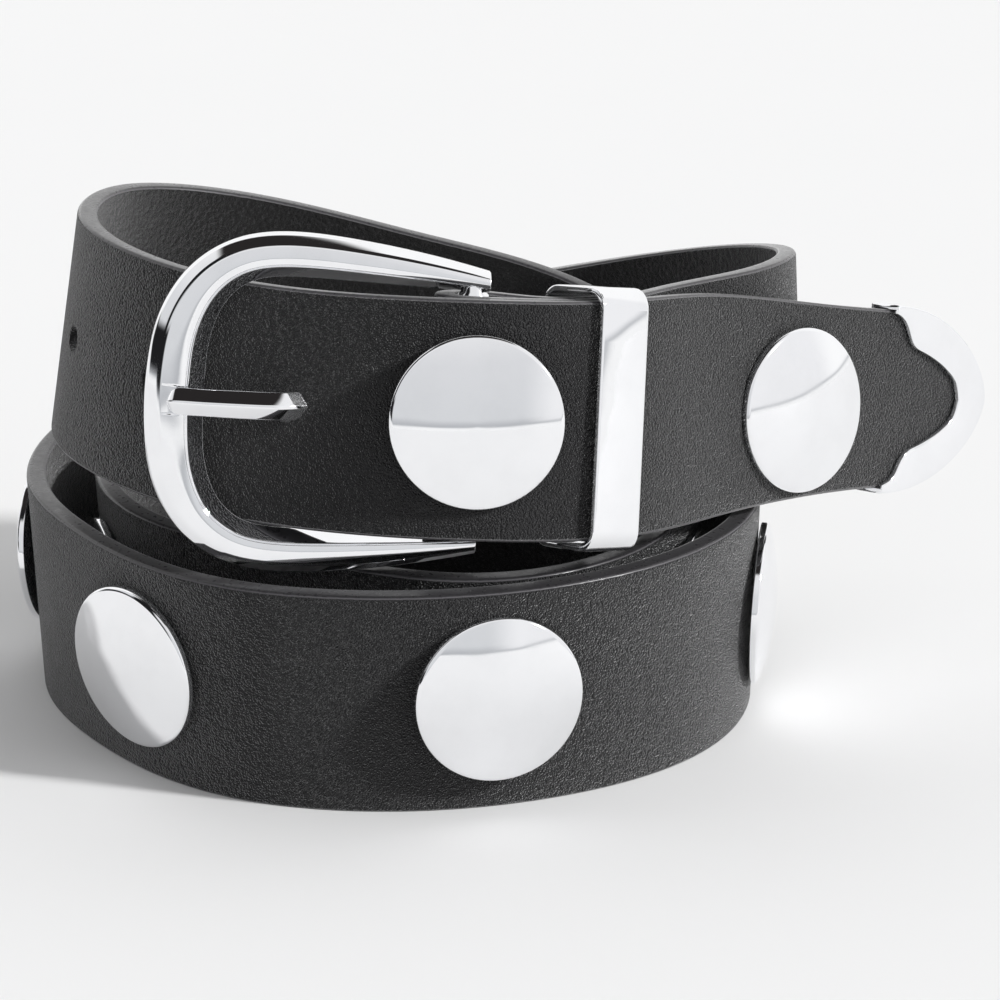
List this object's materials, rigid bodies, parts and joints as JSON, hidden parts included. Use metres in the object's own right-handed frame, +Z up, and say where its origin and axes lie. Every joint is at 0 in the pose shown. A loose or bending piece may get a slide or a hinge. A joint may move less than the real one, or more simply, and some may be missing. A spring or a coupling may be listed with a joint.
{
  "type": "studded belt",
  "caption": "Studded leather belt, buckled and coiled in three turns on its edge, with round domed studs, a D-shaped prong buckle, a metal keeper and a pointed metal end cap.",
  "frame": {"origin": "middle of the bounding box, on the surface that the coil stands on", "axes": "+X to the right along the buckle towards the pointed end, -Y out of the buckle's front, +Z up across the strap"},
  "size_m": [0.1688, 0.1294, 0.0916],
  "materials": {
    "leather": "fine pebbled grain, semi-matt",
    "chrome": "polished"
  },
  "bodies": {
    "root": {"strap": "leather", "buckle_frame": "chrome", "buckle_prong": "chrome", "keeper": "chrome", "tip_cap": "chrome", "stud_01": "chrome", "stud_02": "chrome", "stud_03": "chrome", "stud_04": "chrome", "stud_05": "chrome", "stud_06": "chrome", "stud_07": "chrome", "stud_08": "chrome", "stud_09": "chrome", "stud_10": "chrome", "stud_11": "chrome", "stud_12": "chrome", "stud_13": "chrome", "stud_14": "chrome"}
  },
  "joints": []
}
